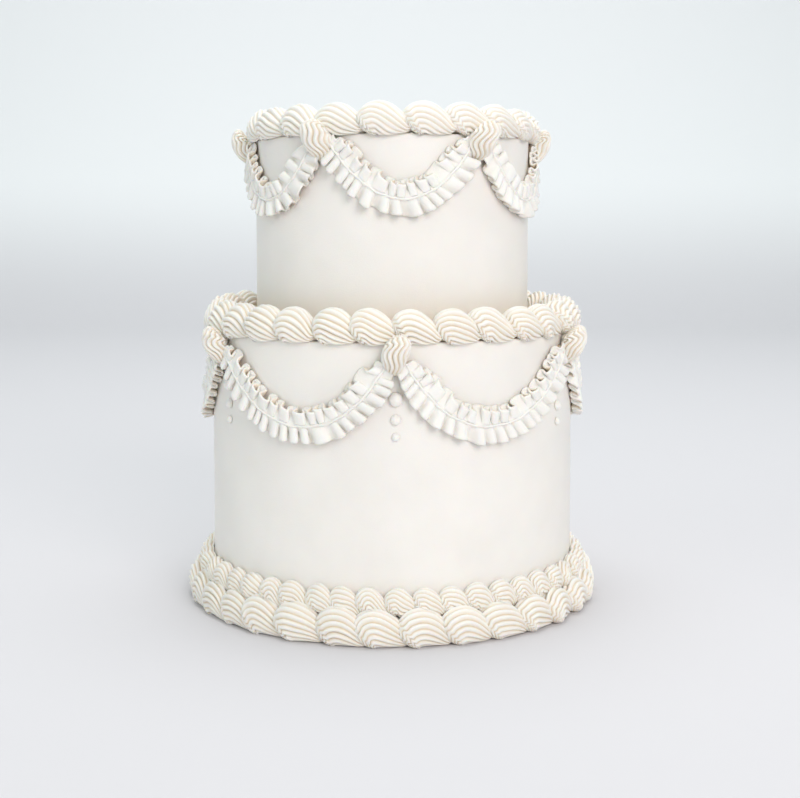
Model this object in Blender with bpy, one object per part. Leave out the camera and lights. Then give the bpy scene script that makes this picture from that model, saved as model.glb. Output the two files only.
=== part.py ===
"""A two-tier round cake iced in ivory buttercream, with piped shell borders, ruffled swags, drop shells and dots.

Metres, +Z up. The origin is the centre of the lower tier's underside, and the cake stands on z = 0.
An azimuth is measured round the cake from the front: 0 is -Y and 90 is +X.
"""

import math
import random

import bmesh
import bpy

# The two iced tiers, 8 inch and 6 inch cakes under about 4 mm of buttercream.
LOWER_RADIUS = 0.1060
LOWER_HEIGHT = 0.1570
UPPER_RADIUS = 0.0802
UPPER_HEIGHT = 0.1095
TIER_SIDES = 64
RIM_ROUNDING = 0.0015

# Clearance between pieces that touch.
GAP = 0.0003

# Shell borders. Each shell runs to the right as seen from outside, head first, and the next one covers its tail.
RIM_SHELL_HEIGHT = 0.0180
RIM_SHELL_WIDTH = 0.0205
RIM_OVERHANG = 0.0062
LOWER_RIM_BACK_RISE = 0.15
LOWER_RIM_SHELLS = 30
UPPER_RIM_SHELLS = 20
BASE_LARGE_SHELLS = 32
BASE_LARGE_WIDTH = 0.0150
BASE_LARGE_HEIGHT = 0.0203
BASE_SMALL_SHELLS = 48
BASE_SMALL_WIDTH = 0.0083
BASE_SMALL_FOOT = 0.0172
BASE_SMALL_TOP = 0.0300
RIDGE_DEPTH = 0.09

# Swags. Each is a ribbon that follows a curve on the tier's side, with a pleated ruffle on each side of a seam.
# A skew above 0 moves a swag's lowest point to the right, as a share of its half span.
LOWER_JUNCTIONS = (-60.0, 1.0, 63.8, 122.5, 181.5, 240.5)
UPPER_JUNCTIONS = (-27.8, 34.7, 93.5, 152.0, 212.0, 271.8)
LOWER_SKEWS = (0.13, -0.13, 0.05, -0.04, 0.07, -0.05)
UPPER_SKEWS = (0.02, -0.05, 0.06, -0.04, 0.05, 0.13)
LOWER_SEAM_DEPTH = 0.0445
UPPER_SEAM_DEPTH = 0.0350
LOWER_SWAG_RISE = 0.0430
UPPER_SWAG_RISE = 0.0400
LOWER_SWAG_POWER = 2.2
UPPER_SWAG_POWER = 2.0
SWAG_STANDOFF = 0.0086
SWAG_TAPER = 0.16
SWAG_END_WIDTH = 0.60
RUFFLE_WIDTH = 0.0082
SEAM_HEIGHT = 0.0048
PLEAT_LOW = 0.0028
PLEAT_HIGH = 0.0078
LOWER_PLEATS = 14
UPPER_PLEATS = 12

# Drop shells hang over each junction, and a row of dots runs down the lower tier's side near it.
DROP_WIDTH = 0.0160
DROP_DEPTH = 0.0146
DROP_BACK = 0.0004
LOWER_DROP_RISE = -0.0005
UPPER_DROP_RISE = 0.0020
DOT_RADII = (0.0039, 0.0028, 0.0022)
DOT_DEPTHS = (0.0293, 0.0400, 0.0490)
DOT_SIDES = 8
DOT_ROWS = (
    # azimuth, height above the depths
    (-57.8, 0.0020),
    (1.0, 0.0),
    (59.7, 0.0005),
    (122.5, 0.0),
    (181.5, 0.0),
    (240.5, 0.0),
)

ICING_COLOUR = (0.90, 0.87, 0.80, 1.0)
PIPING_COLOUR = (0.91, 0.88, 0.82, 1.0)


def clear_scene():
    for thing in list(bpy.data.objects):
        bpy.data.objects.remove(thing)


def buttercream(name, colour, roughness):
    """A matte off-white icing material."""
    material = bpy.data.materials.new(name)
    material.use_nodes = True
    shader = material.node_tree.nodes["Principled BSDF"]
    shader.inputs["Base Color"].default_value = colour
    shader.inputs["Roughness"].default_value = roughness
    shader.inputs["Metallic"].default_value = 0.0
    return material


def around(azimuth, radius, height):
    """The point at an azimuth in degrees, a radius and a height."""
    angle = math.radians(azimuth)
    return (radius * math.sin(angle), -radius * math.cos(angle), height)


def mesh_from_sections(name, sections, closed):
    """A closed body through a row of outlines with equal point counts. A closed row is a ring, an open one is capped."""
    body = bmesh.new()
    rows = [[body.verts.new(point) for point in outline] for outline in sections]
    pairs = list(zip(rows, rows[1:] + rows[:1])) if closed else list(zip(rows, rows[1:]))
    for this, following in pairs:
        for k in range(len(this)):
            after = (k + 1) % len(this)
            body.faces.new((this[k], this[after], following[after], following[k]))
    if not closed:
        body.faces.new(rows[0])
        body.faces.new(rows[-1])
    bmesh.ops.recalc_face_normals(body, faces=body.faces)
    mesh = bpy.data.meshes.new(name)
    body.to_mesh(mesh)
    body.free()
    return mesh


def place(name, mesh, material, parent, azimuth=0.0):
    """Links an object on a tier's base point, turned about the cake's axis to an azimuth."""
    if not mesh.materials:
        mesh.materials.append(material)
    mesh.shade_smooth()
    mesh.set_sharp_from_angle(angle=math.radians(50.0))
    piece = bpy.data.objects.new(name, mesh)
    piece.rotation_euler.z = math.radians(azimuth)
    piece.parent = parent
    bpy.context.scene.collection.objects.link(piece)
    return piece


def tier_base(name, height):
    """An empty at the centre of a tier's underside."""
    empty = bpy.data.objects.new(name, None)
    empty.location.z = height
    bpy.context.scene.collection.objects.link(empty)
    return empty


def tier_mesh(name, radius, height):
    """An upright drum of icing with a slightly softened rim."""
    profile = (
        (radius, 0.0),
        (radius, height - RIM_ROUNDING),
        (radius - RIM_ROUNDING, height),
    )
    turns = [360.0 * k / TIER_SIDES for k in range(TIER_SIDES)]
    rings = [[around(turn, r, z) for turn in turns] for r, z in profile]
    return mesh_from_sections(name, rings, closed=False)


def arc_points(count, start, end, centre, half_width, half_height):
    """Points of an elliptical arc in (outward, up), with every other one sunk to a valley between two ridges.

    The arc begins on a ridge, or in a valley where the count is odd.
    """
    points = []
    for k in range(count):
        angle = math.radians(start + (end - start) * k / (count - 1))
        reach = 1.0 - RIDGE_DEPTH * ((k + count) % 2)
        out = centre[0] + half_width * reach * math.cos(angle)
        up = centre[1] + half_height * reach * math.sin(angle)
        points.append((out, up))
    return points


def rim_outline(swell, radius):
    """The outline of a rim border's shell: a dome standing on the tier's top and over its edge."""
    width, height = RIM_SHELL_WIDTH * swell, RIM_SHELL_HEIGHT * swell
    middle = radius + RIM_OVERHANG - RIM_SHELL_WIDTH / 2
    foot = 0.36 * width
    dome = arc_points(7, 205.0, -25.0, (middle, 0.40 * height), 0.5 * width, 0.6 * height)
    return [(middle - foot, GAP), *[(out, up + GAP) for out, up in dome], (middle + foot, GAP)]


def base_large_outline(swell, radius):
    """The outline of a large base shell: it stands on the ground and leans on the lower tier's wall."""
    wall = radius + GAP
    width, height = BASE_LARGE_WIDTH * swell, BASE_LARGE_HEIGHT * swell
    dome = arc_points(7, 148.0, -32.0, (wall + 0.47 * width, 0.42 * height), 0.53 * width, 0.58 * height)
    return [(wall, 0.0), (wall, 0.68 * height), *dome, (wall + 0.80 * width, 0.0)]


def base_small_outline(swell, radius):
    """The outline of a small base shell: it nests between the large shells' domes and the wall."""
    wall = radius + GAP
    width = BASE_SMALL_WIDTH * swell
    top = BASE_SMALL_FOOT + (BASE_SMALL_TOP - BASE_SMALL_FOOT) * swell
    lip = BASE_SMALL_FOOT + 0.0040
    middle, half = (lip + top) / 2, (top - lip) / 2
    dome = arc_points(4, 108.0, -34.0, (wall + 0.42 * width, middle), 0.58 * width, half)
    return [(wall, BASE_SMALL_FOOT), (wall, top - 0.0016), *dome, (wall + 0.0065, lip)]


def shell_border(name, count, stations, outline, radius, first_azimuth, back_rise, seed):
    """A ring of overlapping shells. A station is (place along the shell, swell); the outline leans with its height.

    The shells grow taller round to the back, by the back rise there as a share of their height.
    """
    draw = random.Random(seed)
    step = 360.0 / count
    sections = []
    for shell in range(count):
        size = draw.uniform(0.94, 1.0)
        shift = draw.uniform(-0.05, 0.05) * step
        for along, swell in stations:
            points = outline(swell * size, radius)
            low, high = min(up for _, up in points), max(up for _, up in points)
            azimuth = first_azimuth + (shell + along - 0.5) * step + shift
            tall = 1.0 + back_rise * (0.5 - 0.5 * math.cos(math.radians(azimuth)))
            section = []
            for out, up in points:
                lean = 0.5 - (up - low) / (high - low)
                section.append(around(azimuth + 0.34 * step * lean * swell, out, up * tall))
            sections.append(section)
    return mesh_from_sections(name, sections, closed=True)


LARGE_STATIONS = ((0.0, 0.66), (0.14, 0.93), (0.42, 1.0), (0.74, 0.85))
SMALL_STATIONS = ((0.0, 0.62), (0.20, 1.0), (0.62, 0.90))


def swag_mesh(name, radius, rim, curve, start, end, skew, pleats, seed):
    """A ruffled ribbon on the tier's side between two junctions.

    Its seam lies at rim - depth + rise * |e| ** power. Between the junctions d runs from -1 to 1, and e is
    d - skew * (1 - d * d), so that the lowest point is off the middle by the skew.
    """
    draw = random.Random(seed)
    depth, rise, power = curve
    middle, half = (start + end) / 2, (end - start) / 2
    half_length = math.radians(half) * radius
    end_d = 1.0 - SWAG_STANDOFF / half_length
    count = 2 * pleats
    sections = []
    for k in range(count):
        d = end_d * (2.0 * k / (count - 1) - 1.0)
        e = d - skew * (1.0 - d * d)
        seam = rim - depth + rise * abs(e) ** power
        slope = math.copysign(rise * power * abs(e) ** (power - 1), e) * (1.0 + 2.0 * skew * d) / half_length
        run = math.hypot(1.0, slope)
        crest = k % 2
        pleat = PLEAT_LOW + (PLEAT_HIGH - PLEAT_LOW) * crest * draw.uniform(0.75, 1.0)
        other = PLEAT_LOW + (PLEAT_HIGH - PLEAT_LOW) * (1 - crest) * draw.uniform(0.6, 0.9)
        taper = max(0.0, abs(d) - end_d + SWAG_TAPER) / SWAG_TAPER
        reach = RUFFLE_WIDTH * (1.0 - 0.08 * (1 - crest)) * (1.0 - (1.0 - SWAG_END_WIDTH) * taper)
        back = 0.45 * reach
        outline = ((-back, GAP), (back, GAP), (reach, other), (0.0, SEAM_HEIGHT), (-reach, pleat))
        section = []
        for across, proud in outline:
            # Across the ribbon is square to its seam, so on a slope it also moves along the wall.
            along = math.degrees(-across * slope / run / radius)
            section.append(around(middle + half * d + along, radius + proud, seam + across / run))
        sections.append(section)
    return mesh_from_sections(name, sections, closed=False)


def drop_mesh(name, radius, rim, rise):
    """A shell piped down the side from the rim. Above the rim its back steps out past the border that it lies on."""
    over_border = RIM_OVERHANG + 0.0008
    levels = (
        # height from the rim, half width, front, back
        (rise - 0.0165, 0.07, 0.20, DROP_BACK),
        (rise - 0.0125, 0.25, 0.56, DROP_BACK),
        (rise - 0.0070, 0.43, 0.90, DROP_BACK),
        (-0.0005, 0.49, 1.00, DROP_BACK),
        (-0.0003, 0.47, 1.00, over_border),
        (rise + 0.0055, 0.26, 0.86, over_border),
    )
    sections = []
    for up, half, front, back in levels:
        half_width, depth = DROP_WIDTH * half, DROP_DEPTH * front - back
        section = [around(math.degrees(side * 0.55 * half_width / radius), radius + back, rim + up) for side in (-1, 1)]
        for k in range(6):
            angle = math.radians(12.0 + 156.0 * k / 5)
            reach = 1.0 - RIDGE_DEPTH * (k % 2)
            across = half_width * reach * math.cos(angle)
            proud = back + depth * reach * math.sin(angle)
            section.append(around(math.degrees(across / radius), radius + proud, rim + up))
        sections.append(section)
    return mesh_from_sections(name, sections, closed=False)


def dot_mesh(name, dot_radius, wall_radius, height):
    """A piped dot: a low dome on the wall at azimuth 0."""
    dome = ((1.0, 0.0), (0.86, 0.50), (0.34, 0.86))
    rings = []
    for spread, lift in dome:
        ring = []
        for k in range(DOT_SIDES):
            angle = 2.0 * math.pi * k / DOT_SIDES
            across, up = (spread * dot_radius * turn for turn in (math.cos(angle), math.sin(angle)))
            ring.append((across, -(wall_radius + 1.2 * GAP + lift * dot_radius), height + up))
        rings.append(ring)
    return mesh_from_sections(name, rings, closed=False)


def build():
    clear_scene()
    icing = buttercream("smooth_icing", ICING_COLOUR, 0.55)
    piping = buttercream("piped_icing", PIPING_COLOUR, 0.60)
    lower = tier_base("lower_tier_base", 0.0)
    upper = tier_base("upper_tier_base", LOWER_HEIGHT + GAP)
    upper_height = UPPER_HEIGHT - GAP

    place("lower_tier", tier_mesh("lower_tier", LOWER_RADIUS, LOWER_HEIGHT), icing, lower)
    place("upper_tier", tier_mesh("upper_tier", UPPER_RADIUS, upper_height), icing, upper)

    borders = (
        ("lower_rim_border", LOWER_RIM_SHELLS, LARGE_STATIONS, rim_outline, LOWER_RADIUS, LOWER_HEIGHT, 8.8, 3),
        ("upper_rim_border", UPPER_RIM_SHELLS, LARGE_STATIONS, rim_outline, UPPER_RADIUS, upper_height, 16.5, 5),
        ("base_large_border", BASE_LARGE_SHELLS, LARGE_STATIONS, base_large_outline, LOWER_RADIUS, 0.0, -2.0, 7),
        ("base_small_border", BASE_SMALL_SHELLS, SMALL_STATIONS, base_small_outline, LOWER_RADIUS, 0.0, 3.0, 9),
    )
    for name, count, stations, outline, radius, height, azimuth, seed in borders:
        back_rise = LOWER_RIM_BACK_RISE if name == "lower_rim_border" else 0.0
        mesh = shell_border(name, count, stations, outline, radius, azimuth, back_rise, seed)
        piece = place(name, mesh, piping, upper if name.startswith("upper") else lower)
        piece.location.z = height

    lower_curve = (LOWER_SEAM_DEPTH, LOWER_SWAG_RISE, LOWER_SWAG_POWER)
    upper_curve = (UPPER_SEAM_DEPTH, UPPER_SWAG_RISE, UPPER_SWAG_POWER)
    garlands = (
        ("lower", lower, LOWER_RADIUS, LOWER_HEIGHT, lower_curve, LOWER_JUNCTIONS, LOWER_SKEWS, LOWER_PLEATS),
        ("upper", upper, UPPER_RADIUS, upper_height, upper_curve, UPPER_JUNCTIONS, UPPER_SKEWS, UPPER_PLEATS),
    )
    for label, base, radius, rim, curve, junctions, skews, pleats in garlands:
        drop_rise = UPPER_DROP_RISE if label == "upper" else LOWER_DROP_RISE
        drop = drop_mesh(f"{label}_drop_shell", radius, rim, drop_rise)
        ends = (*junctions[1:], junctions[0] + 360.0)
        for k, (start, end, skew) in enumerate(zip(junctions, ends, skews), start=1):
            name = f"{label}_swag_{k}"
            mesh = swag_mesh(name, radius, rim, curve, start, end, skew, pleats, seed=20 + k)
            place(name, mesh, piping, base)
            place(f"{label}_drop_shell_{k}", drop, piping, base, azimuth=start)

    for row, (dot_radius, dot_depth) in enumerate(zip(DOT_RADII, DOT_DEPTHS), start=1):
        dot = dot_mesh(f"dot_{row}", dot_radius, LOWER_RADIUS, LOWER_HEIGHT - dot_depth)
        for k, (azimuth, lift) in enumerate(DOT_ROWS, start=1):
            piece = place(f"dot_{k}_{row}", dot, piping, lower, azimuth=azimuth)
            piece.location.z = lift


build()
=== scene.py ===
"""A two-tier cake in ivory buttercream: smooth tiers, shell borders, ruffled swags, drop shells and dots.

Every piece is a surface worked out from two parameters. Lengths are metres and angles are degrees. An
azimuth is measured round the cake from the front: 0 is -Y and 90 is +X. Height is along +Z.
"""

import math
import random

import bpy
import numpy as np
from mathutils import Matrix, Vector


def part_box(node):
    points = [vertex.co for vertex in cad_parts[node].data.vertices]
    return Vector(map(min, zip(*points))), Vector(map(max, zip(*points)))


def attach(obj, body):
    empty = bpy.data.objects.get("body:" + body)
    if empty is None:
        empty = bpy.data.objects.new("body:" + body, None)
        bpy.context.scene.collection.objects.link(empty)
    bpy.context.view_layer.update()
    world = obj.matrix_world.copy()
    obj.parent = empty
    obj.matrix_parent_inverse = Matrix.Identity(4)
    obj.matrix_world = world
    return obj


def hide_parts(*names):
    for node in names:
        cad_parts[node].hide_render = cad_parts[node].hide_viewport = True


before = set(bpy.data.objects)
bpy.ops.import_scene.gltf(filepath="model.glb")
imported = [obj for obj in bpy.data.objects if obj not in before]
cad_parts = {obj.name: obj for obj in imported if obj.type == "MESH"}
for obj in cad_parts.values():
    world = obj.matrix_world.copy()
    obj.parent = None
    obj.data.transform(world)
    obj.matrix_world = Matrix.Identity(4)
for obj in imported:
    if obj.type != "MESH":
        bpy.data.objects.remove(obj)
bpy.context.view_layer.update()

bl_info = {
    "name": "Piped Tier Cake",
    "version": (1, 0, 0),
    "blender": (4, 5, 0),
    "location": "View3D > Sidebar > Cake",
    "description": "Ices and pipes a two-tier buttercream cake over its solid model",
    "category": "Object",
}

BODY = "root"
SMOOTH = "smooth_icing"
PIPED = "piped_icing"


def tier_size(node):
    """A tier's radius, underside and top, from its solid."""
    low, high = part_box(node)
    return (high.x - low.x) / 2, low.z, high.z


LOWER_RADIUS, LOWER_FOOT, LOWER_RIM = tier_size("lower_tier")
UPPER_RADIUS, UPPER_FOOT, UPPER_RIM = tier_size("upper_tier")
# The gap between the piping and the smooth icing.
CLEARANCE = 0.0003
# How far the painted warm shade in the crease between the tiers reaches, and how strong it is at the corner.
CREASE_SHADE_REACH = 0.015
CREASE_SHADE_DEPTH = 0.62

# The rings of shells: node, form, wall radius, height of the foot, number, first azimuth, how much taller the
# shells are round at the back, how crisp their ridges are and how strong the painted shade in their grooves
# is, and the seed of the draws.
RINGS = (
    ("lower_rim_border", "rim", LOWER_RADIUS, LOWER_RIM, 30, 8.8, 0.15, 1.0, 3),
    ("upper_rim_border", "rim", UPPER_RADIUS, UPPER_RIM, 20, 16.5, 0.0, 0.74, 5),
    ("base_large_border", "base_large", LOWER_RADIUS, 0.0, 32, -2.0, 0.0, 1.0, 7),
    ("base_small_border", "base_small", LOWER_RADIUS, 0.0146, 48, 3.0, 0.0, 1.0, 9),
)

# The garlands of each tier: the azimuths of the junctions, each swag's skew, the depth, rise and power of the
# seam's curve, the wall's radius and rim, how much higher the drop shells start, and their share of width.
GARLANDS = {
    "lower": {
        "junctions": (-60.0, 1.0, 63.8, 122.5, 181.5, 240.5),
        "skews": (0.13, -0.13, 0.05, -0.04, 0.07, -0.05),
        "curve": (0.0445, 0.0430, 2.2),
        "radius": LOWER_RADIUS,
        "rim": LOWER_RIM,
        "drop_rise": -0.0005,
        "drop_width": 0.84,
    },
    "upper": {
        "junctions": (-27.8, 34.7, 93.5, 152.0, 212.0, 271.8),
        "skews": (0.02, -0.05, 0.06, -0.04, 0.05, 0.13),
        "curve": (0.0350, 0.0400, 2.0),
        "radius": UPPER_RADIUS,
        "rim": UPPER_RIM,
        "drop_rise": 0.0020,
        "drop_width": 0.94,
    },
}
# The radii of the three dots under a junction, from the top down.
DOT_RADII = (0.0039, 0.0028, 0.0022)
# The first seeds of the tiers' waves, the swags and the drop shells.
TIER_SEED = 61
SWAG_SEED = 200
DROP_SEED = 300


def dot_place(node):
    """The azimuth and height of a dot's middle, from its solid."""
    low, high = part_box(node)
    middle = (low + high) / 2
    return math.degrees(math.atan2(middle.x, -middle.y)), middle.z


class CakeSizes(bpy.types.PropertyGroup):
    ridge_depth: bpy.props.FloatProperty(
        name="Ridge depth", description="How deep the grooves of a shell are, as a share of its section",
        default=0.185, min=0.0, max=0.3,
    )
    ruffle_width: bpy.props.FloatProperty(
        name="Ruffle width", description="From a swag's seam to the free edge of its ruffle",
        default=0.0084, unit="LENGTH",
    )
    ribbon_thickness: bpy.props.FloatProperty(
        name="Ribbon thickness", description="Thickness of a ruffle's ribbon of icing at its free edge",
        default=0.00130, unit="LENGTH",
    )
    pleat_pitch: bpy.props.FloatProperty(
        name="Pleat pitch", description="Mean distance from one pleat of a ruffle to the next",
        default=0.0063, unit="LENGTH",
    )
    pleat_height: bpy.props.FloatProperty(
        name="Pleat height", description="Half the height from the lowest to the highest part of a pleat",
        default=0.0028, unit="LENGTH",
    )
    string_radius: bpy.props.FloatProperty(
        name="String radius", description="Radius of the string along a swag's seam",
        default=0.00070, unit="LENGTH",
    )
    spatula_waves: bpy.props.FloatProperty(
        name="Spatula waves", description="How far the smooth icing strays from a true cylinder",
        default=0.00018, unit="LENGTH",
    )


class CakeColours(bpy.types.PropertyGroup):
    smooth: bpy.props.FloatVectorProperty(
        name="Smooth icing", description="Colour of the smoothed buttercream",
        default=(0.89, 0.85, 0.80), subtype="COLOR", size=3, min=0.0, max=1.0,
    )
    piped: bpy.props.FloatVectorProperty(
        name="Piped icing", description="Colour of the piped buttercream",
        default=(0.93, 0.90, 0.85), subtype="COLOR", size=3, min=0.0, max=1.0,
    )
    # Painted shade: the warm colour laid into grooves, folds and the crease between the tiers.
    groove: bpy.props.FloatVectorProperty(
        name="Grooves", description="Warmer colour of the icing down in grooves and folds",
        default=(0.77, 0.595, 0.375), subtype="COLOR", size=3, min=0.0, max=1.0,
    )
    floor: bpy.props.FloatVectorProperty(
        name="Floor", description="Colour of the floor round the cake",
        default=(0.70, 0.68, 0.695), subtype="COLOR", size=3, min=0.0, max=1.0,
    )
    backdrop: bpy.props.FloatVectorProperty(
        name="Backdrop", description="Colour of the backdrop, which the floor runs up into",
        default=(0.93, 0.93, 0.93), subtype="COLOR", size=3, min=0.0, max=1.0,
    )


def around(azimuth, radius, height):
    """Points round the cake's axis: x = radius sin(azimuth), y = -radius cos(azimuth), z = height."""
    angle = np.radians(azimuth)
    return np.stack(np.broadcast_arrays(radius * np.sin(angle), -radius * np.cos(angle), height), axis=-1)


def ripple(x, waves, draw):
    """A smooth uneven wave: a sum of sines, each of a given frequency and size and a drawn phase."""
    total = np.zeros_like(x)
    for frequency, size in waves:
        total = total + size * np.sin(2.0 * np.pi * (frequency * x + draw.random()))
    return total


def smooth_step(x, low, high):
    """0 below low, 1 above high, and 3 t^2 - 2 t^3 between them, t being the share of the way."""
    t = np.clip((x - low) / (high - low), 0.0, 1.0)
    return t * t * (3.0 - 2.0 * t)


def crease_painted_shade(radius, height):
    """How much painted warm shade a point in the crease between the tiers gets: depth exp(-(distance / reach)
    ** 2), by its distance from the corner."""
    distance = np.hypot(radius - UPPER_RADIUS, height - LOWER_RIM)
    return CREASE_SHADE_DEPTH * np.exp(-((distance / CREASE_SHADE_REACH) ** 2))


def closed_tube(rings, painted_shade):
    """Vertices, quads, triangles and painted shade values of a tube of closed rings with a point at each end.

    rings is rows by columns by 3. Each end's point is its ring's mean, so that seams and ends are closed. The
    faces are turned outwards by the sign of the enclosed volume.
    """
    rows, columns = painted_shade.shape
    ends = rings[[0, -1]].mean(axis=1)
    points = np.concatenate([rings.reshape(-1, 3), ends])
    values = np.concatenate([painted_shade.ravel(), painted_shade[[0, -1]].mean(axis=1)])
    index = np.arange(rows * columns).reshape(rows, columns)
    beside = np.roll(index, -1, axis=1)
    quads = np.stack([index[:-1], beside[:-1], beside[1:], index[1:]], axis=-1).reshape(-1, 4)
    first, last = rows * columns, rows * columns + 1
    start_cap = np.stack([np.full(columns, first), beside[0], index[0]], axis=-1)
    end_cap = np.stack([np.full(columns, last), index[-1], beside[-1]], axis=-1)
    triangles = np.concatenate([start_cap, end_cap])
    halves = np.concatenate([quads[:, [0, 1, 2]], quads[:, [0, 2, 3]], triangles])
    corner = points[halves] - points.mean(axis=0)
    volume = np.einsum("ij,ij->i", corner[:, 0], np.cross(corner[:, 1], corner[:, 2])).sum()
    if volume < 0:
        quads, triangles = quads[:, ::-1], triangles[:, ::-1]
    return points, quads, triangles, values


def mesh_piece(name, tubes, material, *nodes, slot=PIPED):
    """One smooth-shaded object of closed tubes, which rides on the cake and stands for the given nodes."""
    points, faces, values, count = [], [], [], 0
    for vertices, quads, triangles, painted_shade in tubes:
        points.append(vertices)
        faces += (quads + count).tolist() + (triangles + count).tolist()
        values.append(painted_shade)
        count += len(vertices)
    mesh = bpy.data.meshes.new(name)
    mesh.from_pydata(np.concatenate(points).tolist(), [], faces)
    # The painted_shade attribute holds the painted warm shade of grooves, folds and the crease between the
    # tiers.
    layer = mesh.attributes.new("painted_shade", "FLOAT", "POINT")
    layer.data.foreach_set("value", np.concatenate(values).astype(np.float32))
    mesh.shade_smooth()
    mesh.materials.append(material)
    piece = bpy.data.objects.new(name, mesh)
    bpy.context.scene.collection.objects.link(piece)
    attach(piece, BODY)
    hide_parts(*nodes)
    return piece


# Shells

# The forms of shell. The height, the half width and the middle's distance from the wall are metres. Along the
# ring, lengths are shares of the pitch, and up the shell they are shares of its height.
#   head: the middle and reach of the head's ellipse along the ring, and its middle's height
#   eye: where the eye of the curl is, along and up
#   tail: how far along the tip is, the power of the fall to it, and its height
#   fan: how far the inner points follow to the tip
#   start: the share of the width at the head's start, and where along the rows the shell is widest
#   waist: where along the rows it starts to narrow, and the share of the width at the tip
#   ridges, arc: the number of ridges, and the part of the section's length that they cover
#   rows: the number of sections from the head to the tip
#   sway: how often the ridges sway along the shell, and how far, in turns round the section
#   buckle: the least and the most that they waver at the head, in turns
#   spiral: how far they wind round the section, as a share of its length
SHELLS = {
    "rim": {
        "height": 0.0180, "half_width": 0.01025, "middle": -0.00405,
        "head": (-0.25, 0.50, 0.50), "eye": (-0.28, -0.02), "tail": (0.60, 2.20, 0.08),
        "fan": 0.76, "waist": (0.42, 0.40),
        "ridges": 17, "arc": (0.045, 0.955), "rows": 30, "sway": (0.7, 0.014), "buckle": (0.004, 0.046),
        "start": (0.62, 0.38), "spiral": 0.15,
    },
    "base_large": {
        "height": 0.0206, "half_width": 0.0083, "middle": 0.0068,
        "head": (-0.20, 0.50, 0.50), "eye": (-0.15, -0.04), "tail": (0.68, 1.55, 0.20),
        "fan": 0.80, "waist": (0.42, 0.42),
        "ridges": 12, "arc": (0.045, 0.76), "rows": 30, "sway": (0.7, 0.014), "buckle": (0.008, 0.034),
        "start": (0.54, 0.38), "spiral": 0.07,
    },
    "base_small": {
        "height": 0.0156, "half_width": 0.0052, "middle": 0.0034,
        "head": (-0.20, 0.52, 0.50), "eye": (-0.16, 0.06), "tail": (0.64, 2.00, 0.16),
        "fan": 0.62, "waist": (0.42, 0.45),
        "ridges": 10, "arc": (0.045, 0.76), "rows": 28, "sway": (0.9, 0.022), "buckle": (0.020, 0.060),
        "start": (0.62, 0.38), "spiral": 0.06,
    },
    "drop": {
        "height": 0.0146, "half_width": 0.0082, "middle": 0.0,
        "head": (0.0, 0.46, 0.50), "eye": (0.10, 0.0), "tail": (1.04, 1.2, 0.0),
        "fan": 0.90, "waist": (0.56, 0.20),
        "ridges": 12, "arc": (0.05, 0.95), "rows": 44, "sway": (1.5, 0.026), "buckle": (0.020, 0.050),
        "start": (0.26, 0.58), "spiral": 0.0,
    },
}
COLUMNS_PER_RIDGE = 6
BOTTOM_COLUMNS = 4
GROOVE_POWER = 1.15
# The head's share of the rows, and the angle on its ellipse where it starts.
HEAD_SHARE = 0.52
HEAD_START = -62.0
# Where along the rows the ridges waver, over how much of them, and how many times.
WAVER_PLACE = 0.21
WAVER_SPREAD = 0.12
WAVERS = 6.5
# How the grooves' depth varies from one to the next, and between which shares it stays.
DEPTH_WAVES = ((3.0, 0.16), (7.0, 0.18))
DEPTH_LIMITS = (0.55, 1.35)
# The share of the height that the grooves are cut towards.
GROOVE_CENTRE = 0.44
# How much painted warm shade a shell's icing gets where it is narrow.
NARROW_PAINTED_SHADE = 0.40
# How far a rim's shells hang over its edge, between which distances from the wall the hang sets in, and how
# much further the belly hangs and where it is along the shell.
RIM_HANG = 0.0010
EDGE_SPAN = (-0.0020, 0.0040)
RIM_BELLY = 0.0020
BELLY_PLACE = -0.12
BELLY_SPREAD = 0.30
# The gap under their tails: its height, where it sets in along the shell and out from the wall, how far up it
# reaches, and the distance from the wall up to which a shell stays on the tier's top.
JOINT_GAP = 0.0046
JOINT_SPAN = (0.28, 0.54)
JOINT_EDGE_SPAN = (-0.0035, 0.0010)
JOINT_REACH = 0.0090
LEDGE_END = 0.0006
# The spread of the draws from shell to shell: size, shift as a share of the step, yaw and lean.
SHELL_SIZES = (0.94, 1.0)
SHELL_SHIFT = 0.05
SHELL_YAW = 5.0
SHELL_LEANS = (-0.06, 0.08)
# The drop shells: length, top above the rim, crispness of the ridges, and the spread of width, roll and bend.
DROP_LENGTH = 0.0148
DROP_TOP = 0.0055
DROP_CRISP = 1.25
DROP_WIDTHS = (0.92, 1.06)
DROP_ROLL = 24.0
DROP_BEND = 0.0012
# How far a drop shell's back stands off the wall, and how much more over the rim's edge and past the border.
DROP_BACK = (0.0004, 0.0026, 0.0032)


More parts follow.
